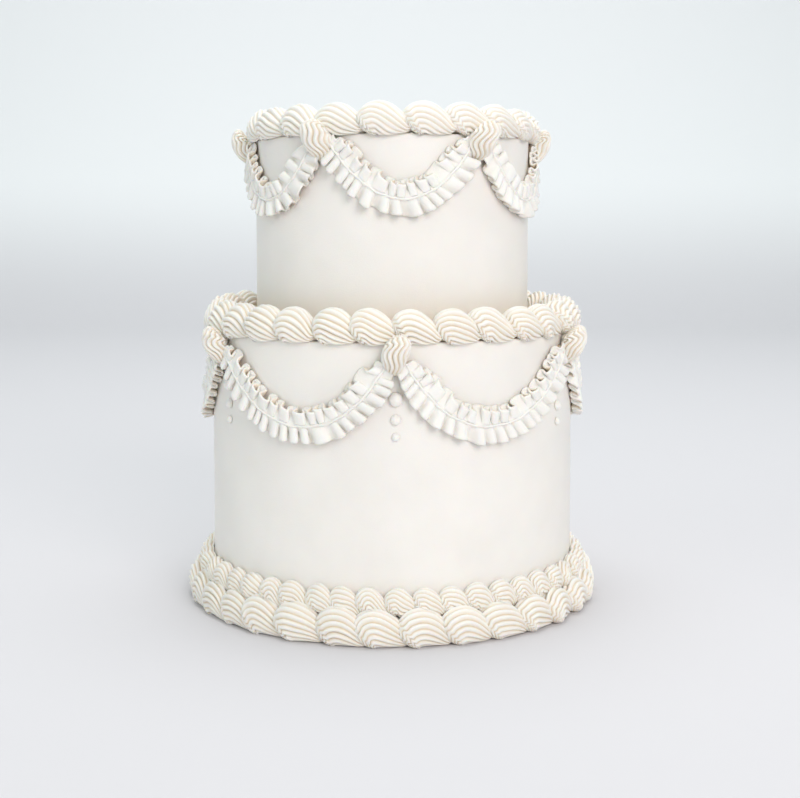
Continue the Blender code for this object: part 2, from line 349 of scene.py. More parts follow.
def section_outline(form):
    """A shell's section as a curve (length, share of the height, share of the half width), and the columns on
    it: their places by length and their groove depths.

    The outline is a rounded D. With f from 0 at the bottom's middle, up the front and over the top, to 360,
    the height share is (1 - cos f) / 2, squared off below the middle by a power, and the width share is
    sin f. The ridges are spaced evenly by length over a part of it. A groove is (1 - |sin|) to a power, which
    is sharp, and leaves the ridges' backs round. Plain columns close the bottom.
    """
    f = np.linspace(0.0, 2.0 * np.pi, 1441)
    cosine, sine = np.cos(f), np.sin(f)
    power = np.where(cosine > 0.0, 0.72, 1.0)
    height = 0.5 - 0.5 * np.sign(cosine) * np.abs(cosine) ** power
    width = np.sign(sine) * np.abs(sine) ** np.where(cosine > 0.0, 0.72, 0.92)
    step = np.hypot(np.diff(height * form["height"]), np.diff(width * form["half_width"]))
    length = np.concatenate([[0.0], np.cumsum(step)])
    length /= length[-1]
    start, end = form["arc"]
    count = form["ridges"] * COLUMNS_PER_RIDGE
    ridge = np.arange(count + 1) / COLUMNS_PER_RIDGE
    groove = (1.0 - np.abs(np.sin(np.pi * ridge))) ** GROOVE_POWER
    bottom = np.linspace(end, 1.0 + start, BOTTOM_COLUMNS + 2)[1:-1] % 1.0
    place = np.concatenate([start + (end - start) * ridge / form["ridges"], bottom])
    groove = np.concatenate([groove, np.zeros(BOTTOM_COLUMNS)])
    return (length, height, width), place, groove


def piped_shell(form, pitch, ridge_depth, draw):
    """One curled shell as arrays (along, out, up) and painted shade, in rows from the head's start to the
    tail's tip.

    Each row is a section across the shell, between an inner and an outer point. Over the head the outer point
    runs round an ellipse from below the curl up to its top, while the inner one stays at the curl's eye. Over
    the tail the outer point moves on by sin(90 q) and falls to the tip as cos(90 q) ** taper, q being the
    share of the way, and the inner one follows by the fan's share. So the ridges are nested arcs that fan out
    over the head and end side by side. They wind from the back over the top to the front by the spiral. They
    sway by slow waves, and waver by a quick one that is strong only near the head, by
    exp(-((t - place) / spread) ** 2).
    """
    height = form["height"]
    centre_x, reach_x, centre_z = form["head"]
    tip_x, taper, tip_z = form["tail"]
    t = np.linspace(0.0, 1.0, form["rows"])
    head = np.clip(t / HEAD_SHARE, 0.0, 1.0)
    q = np.clip((t - HEAD_SHARE) / (1.0 - HEAD_SHARE), 0.0, 1.0)
    angle = np.radians(HEAD_START + (90.0 - HEAD_START) * head)
    move = np.sin(0.5 * np.pi * q)
    outer_x = np.where(q > 0, centre_x + (tip_x - centre_x) * move, centre_x - reach_x * np.cos(angle))
    fall = tip_z + (1.0 - tip_z) * np.cos(0.5 * np.pi * q) ** taper
    outer_z = np.where(q > 0, fall, centre_z + (1.0 - centre_z) * np.sin(angle))
    eye_x, eye_z = form["eye"]
    inner_x = eye_x + form["fan"] * (tip_x - eye_x) * smooth_step(q, 0.0, 1.1)
    inner_z = eye_z * (1.0 - smooth_step(t, 0.25, 0.75))
    outer_z = np.maximum(outer_z, inner_z + 0.02)
    start, widest = form["start"]
    swell = start + (1.0 - start) * np.sin(0.5 * np.pi * np.clip(t / widest, 0.0, 1.0))
    narrows, end_width = form["waist"]
    narrowing = np.clip((t - narrows) / (1.0 - narrows), 0.0, 1.0)
    waist = end_width + (1.0 - end_width) * np.cos(0.5 * np.pi * narrowing) ** 0.85
    half_width = form["half_width"] * swell * waist

    (length, height_share, width_share), place, groove = section_outline(form)
    rows = t[:, None]
    wound = place[None, :] - form["spiral"] * (rows - 0.5)
    share = np.interp(wound, length, height_share, period=1.0)
    side = np.interp(wound, length, width_share, period=1.0)
    often, sway = form["sway"]
    near_head = np.exp(-((rows - WAVER_PLACE) / WAVER_SPREAD) ** 2) * smooth_step(rows, 0.04, 0.20)
    waver = draw.uniform(*form["buckle"])
    skewed = rows + 0.05 * np.sin(6.0 * place[None, :] + draw.random() * 6.0)
    buckle = ripple(skewed, ((WAVERS, waver),), draw)
    swaying = ripple(rows, ((often, sway), (2.3 * often, sway)), draw)
    twist = swaying + draw.uniform(-0.012, 0.012) + near_head * buckle
    uneven = 1.0 + ripple(place[None, :] * np.ones_like(rows), DEPTH_WAVES, draw)
    depth = ridge_depth * groove[None, :] * np.clip(uneven, *DEPTH_LIMITS) * (1.0 - 0.25 * near_head)

    moved_share = (share - GROOVE_CENTRE) * (1.0 - depth)
    moved_side = side * (1.0 - depth)
    turn = 2.0 * np.pi * twist
    turned_share = GROOVE_CENTRE + moved_share * np.cos(turn) + 0.5 * moved_side * np.sin(turn)
    turned_side = moved_side * np.cos(turn) - 2.0 * moved_share * np.sin(turn)

    along = (inner_x[:, None] + (outer_x - inner_x)[:, None] * turned_share) * pitch
    up = (inner_z[:, None] + (outer_z - inner_z)[:, None] * turned_share) * height
    out = form["middle"] + half_width[:, None] * turned_side
    out = out + ripple(rows, ((0.9, 0.0004),), draw)
    narrow = 1.0 - np.minimum(swell, waist)
    # Painted warm shade, strongest down in the grooves and where the shell narrows.
    painted_shade = np.clip(groove[None, :] ** 1.5 + NARROW_PAINTED_SHADE * narrow[:, None], 0.0, 1.0)
    return along, out, up, np.broadcast_to(painted_shade, along.shape)


def rest_on(kind, x, out, up):
    """Keeps a shell's points on the cake: over the tier's top and hung over its edge, or out of its wall.

    x is the place along the shell as a share of the pitch. A rim's shell hangs over the edge as a belly,
    exp(-((x - place) / spread) ** 2), and the underside of its tail lifts off the edge, which leaves a gap at
    the joint.
    """
    if kind == "rim":
        over_edge = smooth_step(out, *EDGE_SPAN)
        belly = np.exp(-((x - BELLY_PLACE) / BELLY_SPREAD) ** 2)
        low = np.clip(1.0 - up / JOINT_REACH, 0.0, 1.0) ** 2
        joint = smooth_step(x, *JOINT_SPAN) * low * smooth_step(out, *JOINT_EDGE_SPAN)
        up = up - (RIM_HANG + RIM_BELLY * belly) * over_edge + JOINT_GAP * joint
        return out, np.where(out < LEDGE_END, np.maximum(up, 0.5 * CLEARANCE), up)
    return np.maximum(out, CLEARANCE), np.maximum(up, 0.0)


def ring_of_shells(kind, wall, foot, count, first, back_rise, crisp, seed, ridge_depth):
    """The tubes of a ring of shells. Each one's size, shift, yaw and lean are drawn, and it is bent round the
    wall: azimuth = place + along / wall radius."""
    form = SHELLS[kind]
    draw = random.Random(seed)
    shape_draw = random.Random(seed + 100)
    step = 360.0 / count
    pitch = math.radians(step) * wall
    tubes = []
    for shell in range(count):
        size = draw.uniform(*SHELL_SIZES)
        shift = draw.uniform(-SHELL_SHIFT, SHELL_SHIFT) * step
        along, out, up, painted_shade = piped_shell(form, pitch, crisp * ridge_depth, shape_draw)
        yaw = math.radians(shape_draw.uniform(-SHELL_YAW, SHELL_YAW))
        lean = shape_draw.uniform(*SHELL_LEANS)
        middle = form["middle"]
        up = up * size
        out = middle + (out - middle) * size + along * math.sin(yaw)
        along = along - lean * up
        out, up = rest_on(kind, along / pitch, out, up)
        azimuth = first + shell * step + shift + np.degrees(along / wall)
        tall = 1.0 + back_rise * (0.5 - 0.5 * np.cos(np.radians(azimuth)))
        # Painted warm shade of the grooves, scaled by the ring's crispness, and of the crease between the
        # tiers.
        painted_shade = np.maximum(crisp * painted_shade, crease_painted_shade(wall + out, foot + up))
        tubes.append(closed_tube(around(azimuth, wall + out, foot + up * tall), painted_shade))
    return tubes


def drop_shell(garland, junction, ridge_depth, seed):
    """The tube of a shell piped down the side: along runs down, up runs out from the wall, and out round it.

    It is rolled about its length by a drawn angle, which fades out down the tail. Above the rim its back
    steps out past the border, by a smooth step over the rim's edge.
    """
    form = SHELLS["drop"]
    draw = random.Random(seed)
    length = DROP_LENGTH
    along, out, up, painted_shade = piped_shell(form, length, DROP_CRISP * ridge_depth, draw)
    out = out * garland["drop_width"] * draw.uniform(*DROP_WIDTHS)
    roll = math.radians(draw.uniform(-DROP_ROLL, DROP_ROLL))
    middle = 0.45 * form["height"]
    rolled_out = out * math.cos(roll) + (up - middle) * math.sin(roll)
    rolled_up = middle + (up - middle) * math.cos(roll) - out * math.sin(roll)
    fade = smooth_step(along, 0.25 * length, length)
    out = rolled_out * (1.0 - fade) + out * fade
    up = rolled_up * (1.0 - fade) + up * fade
    out = out + draw.uniform(-DROP_BEND, DROP_BEND) * np.sin(np.pi * along / length)
    top = garland["rim"] + garland["drop_rise"] + DROP_TOP
    height = top - (along + form["head"][1] * length)
    over_rim = height - garland["rim"]
    on_wall, at_edge, past_border = DROP_BACK
    back = on_wall + at_edge * smooth_step(over_rim, -0.0008, 0.0004)
    back = back + past_border * smooth_step(over_rim, 0.0, 0.0050)
    up = np.maximum(up, 0.0)
    proud = back + up * (1.0 - back / form["height"])
    azimuth = junction + np.degrees(out / garland["radius"])
    return closed_tube(around(azimuth, garland["radius"] + proud, height), painted_shade)


# Swags

ROWS_PER_PLEAT = 13
# The columns of a ribbon from the seam to its free edge, and the first of its back that is free of the foot.
ACROSS = np.linspace(0.0, 1.0, 11)
ROOT_COLUMN = 3
# How far the seam and the free edge's mean stand off the wall, and the swags' ends off their junctions.
SEAM_PROUD = 0.0040
EDGE_PROUD = 0.0036
SWAG_STANDOFF = 0.0048
# The ruffle below the seam, -1, and the one above it, 1: its share of the pleats, how far a pleat folds back
# over itself and leans, both in metres, its share of the pleat height, the share of its width that is left at
# the swag's ends, and the share that a pleat's crest adds to its reach.
RUFFLES = {
    -1: {"pleats": 1.0, "curl": 0.0008, "lean": 0.0016, "height": 1.0, "end_reach": 0.60, "pull": 0.05},
    1: {"pleats": 0.82, "curl": 0.0016, "lean": 0.0006, "height": 0.78, "end_reach": 0.50, "pull": -0.17},
}
# Slow waves, each a frequency and a size: of the pleats' spacing, of their size, of a ruffle's width and of
# the string.
SPACING_WAVES = ((2.3, 0.25), (5.1, 0.15), (8.7, 0.07))
SIZE_WAVES = ((3.7, 0.18), (9.3, 0.16), (14.0, 0.10))
WIDTH_WAVES = ((4.3, 0.06), (11.0, 0.04))
STRING_WAVES = ((6.0, 0.00018), (13.0, 0.00012))
# The string's section, as shares of its radius across and up, and the stretch of its height.
STRING_PROFILE = ((-1.1, 0.0), (-0.8, 0.62), (0.0, 1.0), (0.8, 0.62), (1.1, 0.0))
STRING_CROWN = 1.25
# The section of a swag's foot on the wall, as shares of the ruffle's width.
FOOT_PROFILE = (0.30, 0.0, -0.30)


def seam_curve(garland, start, end, skew, count):
    """The seam as evenly spaced points on the unrolled wall, with unit tangents and the distance along it.

    Its height is rim - depth + rise |e| ** power. Between the junctions d runs from -1 to 1, and e is
    d - skew (1 - d^2). The ends stand off from the junctions.
    """
    depth, rise, power = garland["curve"]
    radius = garland["radius"]
    middle, half = math.radians(start + end) / 2 * radius, math.radians(end - start) / 2 * radius
    end_d = 1.0 - SWAG_STANDOFF / half
    d = np.linspace(-end_d, end_d, 2001)
    e = d - skew * (1.0 - d * d)
    x = middle + half * d
    z = garland["rim"] - depth + rise * np.abs(e) ** power
    length = np.concatenate([[0.0], np.cumsum(np.hypot(np.diff(x), np.diff(z)))])
    place = np.linspace(0.0, length[-1], count)
    x, z = np.interp(place, length, x), np.interp(place, length, z)
    tangent = np.stack([np.gradient(x, place), np.gradient(z, place)], axis=-1)
    tangent /= np.linalg.norm(tangent, axis=-1, keepdims=True)
    return x, z, tangent, place


def ruffle_sheet(side, x, z, tangent, place, sizes, draw):
    """The middle surface of a ruffle on one side of the seam, as (x, z, proud) on the unrolled wall.

    A pleat is a wave of angle p along the seam. It lifts the ribbon by cos p, shifts it along by sin 2p,
    which folds it back over itself, and leans it by cos p. All three grow from the seam to the free edge. The
    ribbon's reach changes by cos(p - 0.5 side), so that its free edge winds in and out.
    """
    ruffle = RUFFLES[side]
    total = place[-1]
    pleats = round(total / sizes.pleat_pitch * ruffle["pleats"])
    share = (place / total)[:, None]
    w = ACROSS[None, :]
    uneven = ripple(share, SPACING_WAVES, draw)
    p = 2.0 * np.pi * (pleats * share + uneven) + side * 0.9 * w
    grow = w ** 0.75
    end = np.minimum(place, total - place)[:, None]
    taper = 0.30 + 0.70 * smooth_step(end, 0.0, 0.010)
    size = np.clip(1.0 + ripple(share, SIZE_WAVES, draw), 0.6, 1.35)
    fold_back = ruffle["curl"] * np.sin(2.0 * p) + ruffle["lean"] * np.cos(p)
    run = grow * taper * np.minimum(size, 1.1) * fold_back
    height = sizes.pleat_height * ruffle["height"]
    lift = height * grow * taper * np.minimum(size, 1.15) * np.cos(p)
    end_reach = ruffle["end_reach"]
    reach = sizes.ruffle_width * (end_reach + (1.0 - end_reach) * smooth_step(end, 0.0, 0.012))
    width = 1.0 + ripple(share, WIDTH_WAVES, draw) + ruffle["pull"] * grow * np.cos(p - 0.5 * side)
    across = side * reach * width * w
    seam = SEAM_PROUD * (0.80 + 0.20 * taper)
    proud = seam + (EDGE_PROUD - SEAM_PROUD) * w + lift
    proud = np.maximum(proud, 0.0008)
    sheet_x = x[:, None] + run * tangent[:, :1] - across * tangent[:, 1:]
    sheet_z = z[:, None] + run * tangent[:, 1:] + across * tangent[:, :1]
    return np.stack([sheet_x, sheet_z, proud], axis=-1), p


def thick_sheet(sheet, side, thickness):
    """The front, the edge and the back of a ribbon: its sheet moved both ways along its normal, which is the
    cross product of its two directions, and a row of points just outside its free edge. At a share w of the
    way to the edge it is 1.35 - 0.35 w times as thick as there."""
    along = np.gradient(sheet, axis=0)
    across = np.gradient(sheet, axis=1)
    normal = np.cross(along, across) * side
    normal /= np.maximum(np.linalg.norm(normal, axis=-1, keepdims=True), 1e-12)
    w = ACROSS[None, :, None]
    half = 0.5 * thickness * (1.35 - 0.35 * w)
    front, back = sheet + normal * half, sheet - normal * half
    outward = across[:, -1:] / np.linalg.norm(across[:, -1:], axis=-1, keepdims=True)
    edge = sheet[:, -1:] + outward * 0.5 * thickness
    return front, edge, back


def swag_tube(garland, start, end, skew, sizes, seed):
    """The tube of one swag. Its section runs out behind the lower ruffle, back in front of it to the string
    along the seam, and the same way round the upper ruffle to the foot on the wall."""
    draw = random.Random(seed)
    rough = seam_curve(garland, start, end, skew, 3)[3][-1]
    count = round(rough / sizes.pleat_pitch) * ROWS_PER_PLEAT
    x, z, tangent, place = seam_curve(garland, start, end, skew, count)
    normal = np.stack([-tangent[:, 1], tangent[:, 0]], axis=-1)
    ruffles = {}
    for side in (-1, 1):
        sheet, p = ruffle_sheet(side, x, z, tangent, place, sizes, draw)
        front, edge, back = thick_sheet(sheet, side, sizes.ribbon_thickness)
        # Painted warm shade in the hollows of the pleats, growing towards the free edge.
        pleat_shade = ACROSS[None, :] * (0.5 - 0.5 * np.cos(p)) * 0.10
        ruffles[side] = (front, edge, back, pleat_shade)

    wave = ripple(place[:, None] / place[-1], STRING_WAVES, draw)
    end_taper = 0.80 + 0.20 * smooth_step(np.minimum(place, place[-1] - place)[:, None], 0.0, 0.010)
    profile = np.array(STRING_PROFILE) * sizes.string_radius
    across = profile[None, :, 0] + wave
    string_x = x[:, None] + across * normal[:, :1]
    string_z = z[:, None] + across * normal[:, 1:]
    crown = SEAM_PROUD * end_taper + 0.60 * sizes.ribbon_thickness + profile[None, :, 1] * STRING_CROWN
    string = np.stack([string_x, string_z, crown + 0.0 * string_x], axis=-1)

    foot_across = np.array(FOOT_PROFILE) * sizes.ruffle_width * end_taper
    foot_x = x[:, None] + foot_across * normal[:, :1]
    foot_z = z[:, None] + foot_across * normal[:, 1:]
    foot = np.stack([foot_x, foot_z, np.full_like(foot_x, CLEARANCE)], axis=-1)

    lower_front, lower_edge, lower_back, lower_pleat_shade = ruffles[-1]
    upper_front, upper_edge, upper_back, upper_pleat_shade = ruffles[1]
    lower_back[..., 2] = np.maximum(lower_back[..., 2], CLEARANCE)
    upper_back[..., 2] = np.maximum(upper_back[..., 2], CLEARANCE)
    parts = [
        lower_back[:, ROOT_COLUMN:], lower_edge, lower_front[:, :0:-1], string,
        upper_front[:, 1:], upper_edge, upper_back[:, :ROOT_COLUMN - 1:-1], foot,
    ]
    # Painted shade: half on the ribbons' backs, a little at the string's sides, full on the foot against the
    # wall.
    back_painted_shade = np.full_like(lower_pleat_shade[:, ROOT_COLUMN:], 0.5)
    string_painted_shade = 0.08 * np.abs(profile[None, :, 0] / sizes.string_radius) + 0.0 * string_x
    # The painted shade of each part of the section, in the same order.
    folds = [
        back_painted_shade, lower_pleat_shade[:, -1:], lower_pleat_shade[:, :0:-1], string_painted_shade,
        upper_pleat_shade[:, 1:], upper_pleat_shade[:, -1:], back_painted_shade, np.ones_like(foot_x),
    ]
    section = np.concatenate(parts, axis=1)
    painted_shade = np.concatenate(folds, axis=1)
    azimuth = np.degrees(section[..., 0] / garland["radius"])
    rings = around(azimuth, garland["radius"] + section[..., 2], section[..., 1])
    return closed_tube(rings, np.clip(painted_shade, 0.0, 1.0))


# Tiers and dots

# The rounding of a tier's rim, and the waves of its wall: turns round it, rise up it and share of the size.
RIM_CORNER = 0.0013
WALL_WAVES = ((2, 0.4, 0.4), (3, 0.9, 0.3), (5, 1.7, 0.2), (9, 0.6, 0.1))
# A dot's height, its tip's height and width, as shares of its radius, and its sag as a share of its height.
DOT_HEIGHT = 0.84
DOT_TIP = (0.09, 0.24)
DOT_SAG = 0.10


def tier_tube(radius, foot, rim, waves, seed):
    """A smoothed tier: a turned profile up the wall, round the rim and in over the top.

    The wall strays from a true cylinder by slow sines round and up it, as a scraper leaves it, and its icing
    takes painted warm shade in the crease between the tiers.
    """
    draw = random.Random(seed)
    corner = RIM_CORNER
    wall_z = np.linspace(foot, rim - corner, 60)
    bend = np.radians(np.linspace(0.0, 90.0, 8))[1:]
    top_r = np.linspace(radius - corner, 0.004, 26)[1:]
    round_r = radius - corner * (1.0 - np.cos(bend))
    round_z = rim - corner * (1.0 - np.sin(bend))
    profile_r = np.concatenate([np.full(wall_z.size, radius), round_r, top_r])
    profile_z = np.concatenate([wall_z, round_z, np.full(top_r.size, rim)])
    turn = np.linspace(0.0, 1.0, 256, endpoint=False)[None, :]
    height = ((profile_z - foot) / (rim - foot))[:, None]
    slow = sum(
        size * np.sin(2.0 * np.pi * (turns * turn + rise * height + draw.random()))
        for turns, rise, size in WALL_WAVES
    )
    fade = smooth_step(profile_r, 0.3 * radius, radius)[:, None]
    ring_r = profile_r[:, None] - waves * (0.5 + 0.5 * slow) * fade
    ring_z = profile_z[:, None] - 0.6 * waves * (0.5 + 0.5 * slow) * (height > 0.999)
    rings = around(360.0 * turn, ring_r, ring_z)
    # Painted warm shade in the crease between the tiers.
    painted_shade = crease_painted_shade(profile_r, profile_z)[:, None]
    return closed_tube(rings, np.broadcast_to(painted_shade, rings.shape[:2]))


def dot_tube(azimuth, height, radius, wall):
    """A piped dot on the wall: a dome sqrt(1 - spread ** 2) with a soft tip exp(-(spread / width) ** 2),
    which sags a little, and a flat back."""
    spread = np.sin(0.5 * np.pi * np.linspace(0.02, 1.0, 14))[::-1]
    tip_height, tip_width = DOT_TIP
    dome = DOT_HEIGHT * np.sqrt(np.clip(1.0 - spread ** 2, 0.0, 1.0))
    lift = dome + tip_height * np.exp(-((spread / tip_width) ** 2))
    turn = np.radians(np.linspace(0.0, 360.0, 28, endpoint=False))[None, :]
    across = radius * spread[:, None] * np.cos(turn)
    up = radius * spread[:, None] * np.sin(turn) - DOT_SAG * radius * lift[:, None]
    proud = CLEARANCE + radius * lift[:, None] + 0.0 * turn
    points = around(azimuth + np.degrees(across / wall), wall + proud, height + up)
    return closed_tube(points, np.zeros(proud.shape))


# Materials

# Light under the surface of the icing: how much, how far each colour goes, and the scale.
SUBSURFACE_WEIGHT = 0.30
SUBSURFACE_RADIUS = (1.0, 0.70, 0.45)
SUBSURFACE_SCALE = 0.0006
# How strongly the painted warm shade tints grooves and folds, and the range of the cloudy patches'
# brightness.
PAINTED_SHADE_MIX = 0.85
CLOUD_RANGE = (0.975, 1.015)


def link(tree, source, output, target, entry):
    """Links one node's output to another's input."""
    tree.links.new(source.outputs[output], target.inputs[entry])


def noise_node(tree, scale, detail, roughness=0.55):
    """A noise texture of a given number of features a metre."""
    node = tree.nodes.new("ShaderNodeTexNoise")
    node.inputs["Scale"].default_value = scale
    node.inputs["Detail"].default_value = detail
    node.inputs["Roughness"].default_value = roughness
    return node


def whipped_grain():
    """The node group of whipped icing: fine pores and slow waves as a height, and cloudy patches as a mask.

    The height is pores times their share plus waves times theirs, the pores being noise cut to a narrow band.
    """
    name = "whipped_grain"
    if name in bpy.data.node_groups:
        return bpy.data.node_groups[name]
    group = bpy.data.node_groups.new(name, "ShaderNodeTree")
    group.interface.new_socket("Vector", in_out="INPUT", socket_type="NodeSocketVector")
    for socket, default in (("Pores", 0.5), ("Waves", 0.5)):
        entry = group.interface.new_socket(socket, in_out="INPUT", socket_type="NodeSocketFloat")
        entry.default_value = default
    for socket in ("Height", "Patches"):
        group.interface.new_socket(socket, in_out="OUTPUT", socket_type="NodeSocketFloat")
    entry = group.nodes.new("NodeGroupInput")
    out = group.nodes.new("NodeGroupOutput")
    pores = noise_node(group, scale=1500.0, detail=3.0, roughness=0.6)
    waves = noise_node(group, scale=130.0, detail=3.0)
    patches = noise_node(group, scale=26.0, detail=2.0)
    pit = group.nodes.new("ShaderNodeMapRange")
    pit.inputs["From Min"].default_value = 0.30
    pit.inputs["From Max"].default_value = 0.62
    fine = group.nodes.new("ShaderNodeMath")
    fine.operation = "MULTIPLY"
    slow = group.nodes.new("ShaderNodeMath")
    slow.operation = "MULTIPLY"
    height = group.nodes.new("ShaderNodeMath")
    height.operation = "ADD"
    for node in (pores, waves, patches):
        link(group, entry, "Vector", node, "Vector")
    link(group, pores, "Fac", pit, "Value")
    link(group, pit, "Result", fine, 0)
    link(group, entry, "Pores", fine, 1)
    link(group, waves, "Fac", slow, 0)
    link(group, entry, "Waves", slow, 1)
    link(group, fine, 0, height, 0)
    link(group, slow, 0, height, 1)
    link(group, height, 0, out, "Height")
    link(group, patches, "Fac", out, "Patches")
    return group


def buttercream(name, colour, groove, pores, waves, roughness, bump):
    """Buttercream: soft light under the surface, cloudy patches, painted warm shade in grooves and folds, and
    pores in its grain.
    """
    if name in bpy.data.materials:
        return bpy.data.materials[name]
    material = bpy.data.materials.new(name)
    material.use_nodes = True
    tree = material.node_tree
    shader = tree.nodes["Principled BSDF"]
    shader.inputs["Roughness"].default_value = roughness
    shader.inputs["Specular IOR Level"].default_value = 0.35
    shader.inputs["Subsurface Weight"].default_value = SUBSURFACE_WEIGHT
    shader.inputs["Subsurface Radius"].default_value = SUBSURFACE_RADIUS
    shader.inputs["Subsurface Scale"].default_value = SUBSURFACE_SCALE
    coordinates = tree.nodes.new("ShaderNodeTexCoord")
    grain = tree.nodes.new("ShaderNodeGroup")
    grain.node_tree = whipped_grain()
    grain.inputs["Pores"].default_value = pores
    grain.inputs["Waves"].default_value = waves
    link(tree, coordinates, "Object", grain, "Vector")
    # Painted shade: the painted_shade attribute mixes the icing towards the warm groove colour.
    painted_shade = tree.nodes.new("ShaderNodeAttribute")
    painted_shade.attribute_name = "painted_shade"
    shade = tree.nodes.new("ShaderNodeMix")
    shade.data_type = "RGBA"
    shade.inputs["A"].default_value = (*colour, 1.0)
    shade.inputs["B"].default_value = (*groove, 1.0)
    depth = tree.nodes.new("ShaderNodeMath")
    depth.operation = "MULTIPLY"
    depth.inputs[1].default_value = PAINTED_SHADE_MIX
    link(tree, painted_shade, "Fac", depth, 0)
    link(tree, depth, 0, shade, "Factor")
    cloud = tree.nodes.new("ShaderNodeMapRange")
    cloud.inputs["From Min"].default_value = 0.35
    cloud.inputs["From Max"].default_value = 0.65
    cloud.inputs["To Min"].default_value, cloud.inputs["To Max"].default_value = CLOUD_RANGE
    link(tree, grain, "Patches", cloud, "Value")
    tint = tree.nodes.new("ShaderNodeVectorMath")
    tint.operation = "SCALE"
    link(tree, shade, "Result", tint, 0)
    link(tree, cloud, "Result", tint, "Scale")
    link(tree, tint, 0, shader, "Base Color")
    relief = tree.nodes.new("ShaderNodeBump")
    relief.inputs["Strength"].default_value = 1.0
    relief.inputs["Distance"].default_value = bump
    link(tree, grain, "Height", relief, "Height")
    link(tree, relief, "Normal", shader, "Normal")
    return material


def smooth_icing():
    """Buttercream smoothed with a spatula: few pores, slow waves and a soft satin."""
    colours = bpy.context.scene.cake_colours
    return buttercream(
        "smooth_buttercream", colours.smooth, colours.groove,
        pores=0.35, waves=0.9, roughness=0.48, bump=0.00012,
    )


def piped_icing():
    """Buttercream as the piping tip leaves it: more pores, and a little duller."""
    colours = bpy.context.scene.cake_colours
    return buttercream(
        "piped_buttercream", colours.piped, colours.groove,
        pores=0.6, waves=0.5, roughness=0.52, bump=0.00016,
    )


def backdrop_paint(floor, backdrop):
    """A plain matt paint that goes from the floor's colour to the backdrop's with height."""
    material = bpy.data.materials.new("backdrop_paint")
    material.use_nodes = True
    tree = material.node_tree
    shader = tree.nodes["Principled BSDF"]
    shader.inputs["Roughness"].default_value = 0.85
    shader.inputs["Specular IOR Level"].default_value = 0.15
    coordinates = tree.nodes.new("ShaderNodeTexCoord")
    place = tree.nodes.new("ShaderNodeSeparateXYZ")
    rise = tree.nodes.new("ShaderNodeMapRange")
    rise.interpolation_type = "SMOOTHSTEP"
    rise.inputs["From Max"].default_value = 0.35
    shade = tree.nodes.new("ShaderNodeMix")
    shade.data_type = "RGBA"
    shade.inputs["A"].default_value = (*floor, 1.0)
    shade.inputs["B"].default_value = (*backdrop, 1.0)
    link(tree, coordinates, "Object", place, "Vector")
    link(tree, place, "Z", rise, "Value")
    link(tree, rise, "Result", shade, "Factor")
    link(tree, shade, "Result", shader, "Base Color")
    return material


# Operators

class CAKE_OT_smooth_tiers(bpy.types.Operator):
    """Ice the two tiers with smooth buttercream"""

    bl_idname = "cake.smooth_tiers"
    bl_label = "Smooth Tiers"

    def execute(self, context):
        waves = context.scene.cake_sizes.spatula_waves
        icing = smooth_icing()
        lower = tier_tube(LOWER_RADIUS, LOWER_FOOT, LOWER_RIM, waves, TIER_SEED)
        upper = tier_tube(UPPER_RADIUS, UPPER_FOOT, UPPER_RIM, waves, TIER_SEED + 1)
        mesh_piece("lower_tier_icing", [lower], icing, "lower_tier", slot=SMOOTH)
        mesh_piece("upper_tier_icing", [upper], icing, "upper_tier", slot=SMOOTH)
        return {"FINISHED"}


class CAKE_OT_shell_borders(bpy.types.Operator):
    """Pipe the rings of shells round both rims and the foot"""

    bl_idname = "cake.shell_borders"
    bl_label = "Shell Borders"

    def execute(self, context):
        depth = context.scene.cake_sizes.ridge_depth
        for node, *ring in RINGS:
            tubes = ring_of_shells(*ring, depth)
            mesh_piece(f"piped_{node}", tubes, piped_icing(), node)
        return {"FINISHED"}


class CAKE_OT_swags(bpy.types.Operator):
    """Pipe the ruffled swags with the string along their seams"""

    bl_idname = "cake.swags"
    bl_label = "Ruffled Swags"

    def execute(self, context):
        sizes = context.scene.cake_sizes
        for tier, (label, garland) in enumerate(GARLANDS.items()):
            junctions = garland["junctions"]
            ends = (*junctions[1:], junctions[0] + 360.0)
            for k, (start, end, skew) in enumerate(zip(junctions, ends, garland["skews"]), start=1):
                tube = swag_tube(garland, start, end, skew, sizes, SWAG_SEED + 10 * tier + k)
                mesh_piece(f"{label}_ruffle_{k}", [tube], piped_icing(), f"{label}_swag_{k}")
        return {"FINISHED"}


class CAKE_OT_drop_shells(bpy.types.Operator):
    """Pipe a shell down over each point where two swags meet"""

    bl_idname = "cake.drop_shells"
    bl_label = "Drop Shells"

    def execute(self, context):
        depth = context.scene.cake_sizes.ridge_depth
        for tier, (label, garland) in enumerate(GARLANDS.items()):
            for k, junction in enumerate(garland["junctions"], start=1):
                tube = drop_shell(garland, junction, depth, DROP_SEED + 10 * tier + k)
                mesh_piece(f"{label}_piped_drop_{k}", [tube], piped_icing(), f"{label}_drop_shell_{k}")
        return {"FINISHED"}


class CAKE_OT_dots(bpy.types.Operator):
    """Pipe three dots under each drop shell of the lower tier"""

    bl_idname = "cake.dots"
    bl_label = "Dots"

    def execute(self, context):
        for k in range(1, len(GARLANDS["lower"]["junctions"]) + 1):
            for row, radius in enumerate(DOT_RADII, start=1):
                node = f"dot_{k}_{row}"
                azimuth, height = dot_place(node)
                tube = dot_tube(azimuth, height, radius, LOWER_RADIUS)
                mesh_piece(f"piped_{node}", [tube], piped_icing(), node)
        return {"FINISHED"}


# Stage

# The camera stands in front of the cake and looks down a little. Its focal length is a share of the picture's
# width, and so is its shift.
CAMERA_DISTANCE = 0.7802
CAMERA_HEIGHT = 0.21896
CAMERA_PITCH = math.degrees(0.0612)
CAMERA_FOCAL = 1311.3 / 800.0
CAMERA_SHIFT = (7.8 / 800.0, -0.12)
SENSOR = 36.0
